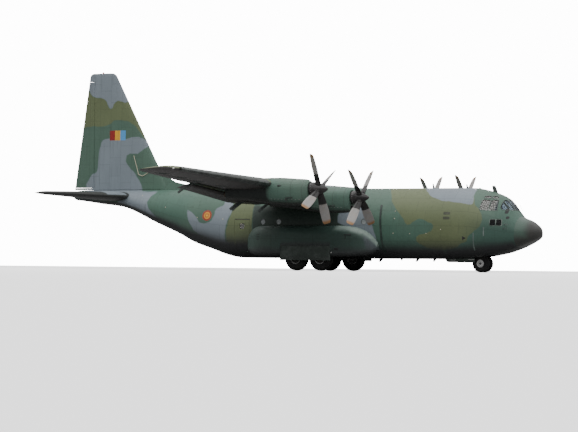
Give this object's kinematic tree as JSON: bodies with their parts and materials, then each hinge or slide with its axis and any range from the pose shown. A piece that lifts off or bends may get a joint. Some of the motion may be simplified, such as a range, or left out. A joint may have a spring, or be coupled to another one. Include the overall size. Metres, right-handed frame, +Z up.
{
  "type": "four-engine military transport plane, 1:2 scale model",
  "caption": "Half-size model of a high-wing turboprop transport plane with turning propellers, moving control surfaces, rear ramp, doors and wheels.",
  "frame": {"origin": "on the ground under the middle of the length and span, at the centre of the bounding box's bottom face", "axes": "+X forward towards the nose, +Y to port along the wing, +Z up"},
  "size_m": [14.895, 20.205, 5.83],
  "materials": {
    "fuselage_paint": "satin camouflage paint, sage green, olive and blue-grey",
    "wing_paint": "satin camouflage paint over a dark underside",
    "tail_paint": "satin camouflage paint with fin stripes",
    "engine_paint": "satin camouflage paint with soot at the exhaust",
    "radome_paint": "semi-gloss black",
    "cockpit_glass": "tinted clear",
    "blade_paint": "dark blade with pale outer half and coloured tip",
    "tyre_rubber": "matt rubber",
    "gear_metal": "painted steel, worn",
    "floor_metal": "scuffed metal",
    "seat_fabric": "woven",
    "panel_plastic": "matt"
  },
  "bodies": {
    "root": {"aft_fuselage": "fuselage_paint", "cargo_floor": "floor_metal", "centre_fuselage": "fuselage_paint", "cockpit_glazing": "cockpit_glass", "fin": "tail_paint", "flight_deck": "floor_metal", "instrument_panel": "panel_plastic", "lower_glazing_left": "cockpit_glass", "lower_glazing_right": "cockpit_glass", "main_gear_door_left": "fuselage_paint", "main_gear_door_right": "fuselage_paint", "main_leg_left_front": "gear_metal", "main_leg_left_rear": "gear_metal", "main_leg_right_front": "gear_metal", "main_leg_right_rear": "gear_metal", "nacelle_1": "engine_paint", "nacelle_2": "engine_paint", "nacelle_3": "engine_paint", "nacelle_4": "engine_paint", "nose_gear_door_left": "fuselage_paint", "nose_gear_door_right": "fuselage_paint", "nose_leg": "gear_metal", "nose_section": "fuselage_paint", "paratroop_door_left": "fuselage_paint", "paratroop_door_right": "fuselage_paint", "pilot_seat_left": "seat_fabric", "pilot_seat_right": "seat_fabric", "radome": "radome_paint", "sponson_left": "fuselage_paint", "sponson_right": "fuselage_paint", "tail_cone": "tail_paint", "tailplane": "tail_paint", "wing_centre": "wing_paint", "wing_left": "wing_paint", "wing_right": "wing_paint"},
    "aileron_left": {"aileron_left": "wing_paint"},
    "aileron_right": {"aileron_right": "wing_paint"},
    "cargo_door": {"cargo_door": "fuselage_paint"},
    "cargo_ramp": {"cargo_ramp": "fuselage_paint"},
    "crew_door": {"crew_door": "fuselage_paint"},
    "elevator_left": {"elevator_left": "tail_paint"},
    "elevator_right": {"elevator_right": "tail_paint"},
    "flap_inner_left": {"flap_inner_left": "wing_paint"},
    "flap_inner_right": {"flap_inner_right": "wing_paint"},
    "flap_outer_left": {"flap_outer_left": "wing_paint"},
    "flap_outer_right": {"flap_outer_right": "wing_paint"},
    "nose_fork": {"nose_fork": "gear_metal"},
    "nose_wheels": {"nose_wheels": "tyre_rubber"},
    "propeller_1": {"propeller_1": "blade_paint"},
    "propeller_2": {"propeller_2": "blade_paint"},
    "propeller_3": {"propeller_3": "blade_paint"},
    "propeller_4": {"propeller_4": "blade_paint"},
    "rudder": {"rudder": "tail_paint"},
    "main_wheel_left_front": {"main_wheel_left_front": "tyre_rubber"},
    "main_wheel_left_rear": {"main_wheel_left_rear": "tyre_rubber"},
    "main_wheel_right_front": {"main_wheel_right_front": "tyre_rubber"},
    "main_wheel_right_rear": {"main_wheel_right_rear": "tyre_rubber"}
  },
  "joints": [
    {"name": "propeller_1_spin", "type": "hinge", "parent": "root", "child": "propeller_1", "pos_m": [3.1175, 5.09, 2.145], "axis": [1, 0, 0], "continuous": true},
    {"name": "propeller_2_spin", "type": "hinge", "parent": "root", "child": "propeller_2", "pos_m": [3.1175, 2.475, 2.005], "axis": [1, 0, 0], "continuous": true},
    {"name": "propeller_3_spin", "type": "hinge", "parent": "root", "child": "propeller_3", "pos_m": [3.1175, -2.475, 2.005], "axis": [1, 0, 0], "continuous": true},
    {"name": "propeller_4_spin", "type": "hinge", "parent": "root", "child": "propeller_4", "pos_m": [3.1175, -5.09, 2.145], "axis": [1, 0, 0], "continuous": true},
    {"name": "main_wheel_left_front_roll", "type": "hinge", "parent": "root", "child": "main_wheel_left_front", "pos_m": [1.2925, 1.0875, 0.35], "axis": [0, 1, 0], "continuous": true},
    {"name": "main_wheel_left_rear_roll", "type": "hinge", "parent": "root", "child": "main_wheel_left_rear", "pos_m": [0.5325, 1.0875, 0.35], "axis": [0, 1, 0], "continuous": true},
    {"name": "main_wheel_right_front_roll", "type": "hinge", "parent": "root", "child": "main_wheel_right_front", "pos_m": [1.2925, -1.0875, 0.35], "axis": [0, 1, 0], "continuous": true},
    {"name": "main_wheel_right_rear_roll", "type": "hinge", "parent": "root", "child": "main_wheel_right_rear", "pos_m": [0.5325, -1.0875, 0.35], "axis": [0, 1, 0], "continuous": true},
    {"name": "nose_steering", "type": "hinge", "parent": "root", "child": "nose_fork", "pos_m": [5.7475, 0, 0.5], "axis": [0, 0, 1], "range_deg": [-60, 60]},
    {"name": "nose_wheels_roll", "type": "hinge", "parent": "nose_fork", "child": "nose_wheels", "pos_m": [5.7125, 0, 0.2475], "axis": [0, 1, 0], "continuous": true},
    {"name": "flap_inner_left_travel", "type": "hinge", "parent": "root", "child": "flap_inner_left", "pos_m": [0.62997, 1.15, 0.21935], "axis": [0, -1, 0], "range_deg": [-9, 12]},
    {"name": "flap_outer_left_travel", "type": "hinge", "parent": "root", "child": "flap_outer_left", "pos_m": [0.63288, 2.86, 0.23132], "axis": [-0.0443, -0.9831, -0.1778], "range_deg": [-9, 12]},
    {"name": "flap_inner_right_travel", "type": "hinge", "parent": "root", "child": "flap_inner_right", "pos_m": [0.62997, -1.15, 0.21935], "axis": [0, -1, 0], "range_deg": [-9, 12]},
    {"name": "flap_outer_right_travel", "type": "hinge", "parent": "root", "child": "flap_outer_right", "pos_m": [0.63288, -2.86, 0.23132], "axis": [0.0443, -0.9831, 0.1778], "range_deg": [-9, 12]},
    {"name": "aileron_left_hinge", "type": "hinge", "parent": "root", "child": "aileron_left", "pos_m": [0.4529, 6.85, 2.34512], "axis": [0.0765, 0.9957, 0.0515], "range_deg": [-20, 20]},
    {"name": "aileron_right_hinge", "type": "hinge", "parent": "root", "child": "aileron_right", "pos_m": [0.4529, -6.85, 2.34512], "axis": [-0.0765, 0.9957, -0.0515], "range_deg": [-20, 20]},
    {"name": "elevator_left_hinge", "type": "hinge", "parent": "root", "child": "elevator_left", "pos_m": [-6.47066, 0.485, 2.135], "axis": [0.0635, 0.998, 0], "range_deg": [-15, 40]},
    {"name": "elevator_right_hinge", "type": "hinge", "parent": "root", "child": "elevator_right", "pos_m": [-6.47066, -0.485, 2.135], "axis": [-0.0635, 0.998, 0], "range_deg": [-15, 40]},
    {"name": "rudder_hinge", "type": "hinge", "parent": "root", "child": "rudder", "pos_m": [-6.8025, 0, 2.4], "axis": [0, 0, 1], "range_deg": [-35, 35]},
    {"name": "cargo_ramp_hinge", "type": "hinge", "parent": "root", "child": "cargo_ramp", "pos_m": [-1.4525, 0, 0.4825], "axis": [0, -1, 0], "range_deg": [0, 24]},
    {"name": "cargo_door_hinge", "type": "hinge", "parent": "root", "child": "cargo_door", "pos_m": [-5.0625, 0, 1.7125], "axis": [0, -1, 0], "range_deg": [0, 26]},
    {"name": "crew_door_hinge", "type": "hinge", "parent": "root", "child": "crew_door", "pos_m": [5.2725, 0.83243, 0.552], "axis": [-1, 0, 0], "range_deg": [0, 100]}
  ],
  "couplings": [
    {"joint": "flap_inner_right_travel", "follows": "flap_inner_left_travel", "ratio": 1},
    {"joint": "flap_outer_left_travel", "follows": "flap_inner_left_travel", "ratio": 1},
    {"joint": "flap_outer_right_travel", "follows": "flap_inner_left_travel", "ratio": 1},
    {"joint": "aileron_right_hinge", "follows": "aileron_left_hinge", "ratio": -1},
    {"joint": "elevator_right_hinge", "follows": "elevator_left_hinge", "ratio": 1}
  ]
}
